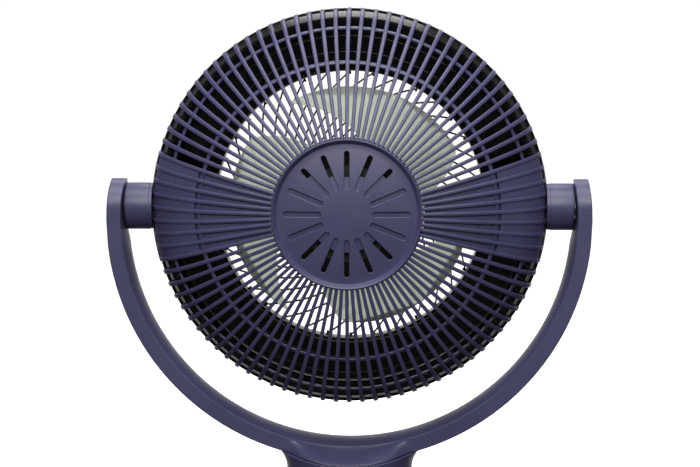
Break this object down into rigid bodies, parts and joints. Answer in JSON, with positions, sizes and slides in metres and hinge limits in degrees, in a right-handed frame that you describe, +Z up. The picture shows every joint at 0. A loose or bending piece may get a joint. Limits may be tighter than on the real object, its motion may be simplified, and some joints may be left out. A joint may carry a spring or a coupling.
{
  "type": "air circulator fan",
  "caption": "Round-headed table air circulator: ribbed rear grille, spiral front grille, wide-bladed impeller, tilting in a U-shaped yoke on a swinging column and round base.",
  "frame": {"origin": "centre of the base on the plane of its feet", "axes": "+Z up along the column, +Y towards the air outlet at the front, +X to the right as seen from the rear"},
  "size_m": [0.4068, 0.2508, 0.4668],
  "materials": {
    "navy_shell": "dark navy-purple moulded plastic, satin gloss",
    "black_shell": "black moulded plastic",
    "grey_impeller": "pale grey-green slightly translucent plastic",
    "bright_steel": "plain turned or pressed steel",
    "dark_iron": "dark iron and laminated steel",
    "copper_wire": null,
    "circuit_board": "green glass-fibre board",
    "dark_rubber": "matt black rubber",
    "white_acetal": "natural white acetal",
    "grey_button": "grey moulded keys"
  },
  "bodies": {
    "base": {"base_shell": "navy_shell", "base_plate": "black_shell", "ballast_ring": "dark_iron", "foot_1": "dark_rubber", "foot_2": "dark_rubber", "foot_3": "dark_rubber", "foot_4": "dark_rubber", "turntable_bearing": "white_acetal", "oscillation_motor": "bright_steel", "control_panel": "black_shell", "control_board": "circuit_board", "power_inlet": "black_shell"},
    "power_key": {"button_power": "grey_button"},
    "speed_key": {"button_speed": "grey_button"},
    "swing_key": {"button_swing": "grey_button"},
    "timer_key": {"button_timer": "grey_button"},
    "pinion": {"drive_pinion": "white_acetal"},
    "stand": {"column_shell": "navy_shell", "turntable_spigot": "black_shell", "retaining_ring": "bright_steel", "thrust_washer": "white_acetal", "sector_gear": "white_acetal", "yoke_frame": "navy_shell", "yoke_inner_cover": "navy_shell", "column_bolt_left": "bright_steel", "column_bolt_right": "bright_steel", "pivot_pin_left": "bright_steel", "pivot_pin_right": "bright_steel", "friction_washer_left": "dark_rubber", "friction_washer_right": "dark_rubber"},
    "head": {"rear_grille": "navy_shell", "shroud": "black_shell", "front_bezel": "black_shell", "front_grille": "black_shell", "front_cap": "black_shell", "motor_cover": "navy_shell", "motor_bracket": "black_shell", "motor_board": "circuit_board", "motor_rear_can": "bright_steel", "motor_front_can": "bright_steel", "stator_core": "dark_iron", "stator_winding_rear": "copper_wire", "stator_winding_front": "copper_wire", "bearing_rear": "bright_steel", "bearing_front": "bright_steel", "pivot_boss_left": "navy_shell", "pivot_boss_right": "navy_shell"},
    "rotor": {"impeller": "grey_impeller", "motor_shaft": "bright_steel", "rotor_core": "dark_iron", "impeller_nut": "bright_steel"}
  },
  "joints": [
    {"name": "stand_swing", "type": "hinge", "parent": "base", "child": "stand", "pos_m": [0, 0, 0.0365], "axis": [0, 0, 1], "range_deg": [-40, 40]},
    {"name": "pinion_turn", "type": "hinge", "parent": "base", "child": "pinion", "pos_m": [0, -0.0456, 0.02], "axis": [0, 0, 1], "range_deg": [-162, 162]},
    {"name": "head_tilt", "type": "hinge", "parent": "stand", "child": "head", "pos_m": [0, 0, 0.3], "axis": [1, 0, 0], "range_deg": [-15, 90]},
    {"name": "impeller_spin", "type": "hinge", "parent": "head", "child": "rotor", "pos_m": [0, 0, 0.3], "axis": [0, 1, 0], "continuous": true},
    {"name": "power_key_press", "type": "slide", "parent": "base", "child": "power_key", "axis": [0, 0, -1], "range_m": [0, 0.0012], "stiffness_N_per_m": 800},
    {"name": "speed_key_press", "type": "slide", "parent": "base", "child": "speed_key", "axis": [0, 0, -1], "range_m": [0, 0.0012], "stiffness_N_per_m": 800},
    {"name": "swing_key_press", "type": "slide", "parent": "base", "child": "swing_key", "axis": [0, 0, -1], "range_m": [0, 0.0012], "stiffness_N_per_m": 800},
    {"name": "timer_key_press", "type": "slide", "parent": "base", "child": "timer_key", "axis": [0, 0, -1], "range_m": [0, 0.0012], "stiffness_N_per_m": 800}
  ],
  "couplings": [
    {"joint": "pinion_turn", "follows": "stand_swing", "ratio": -4}
  ]
}
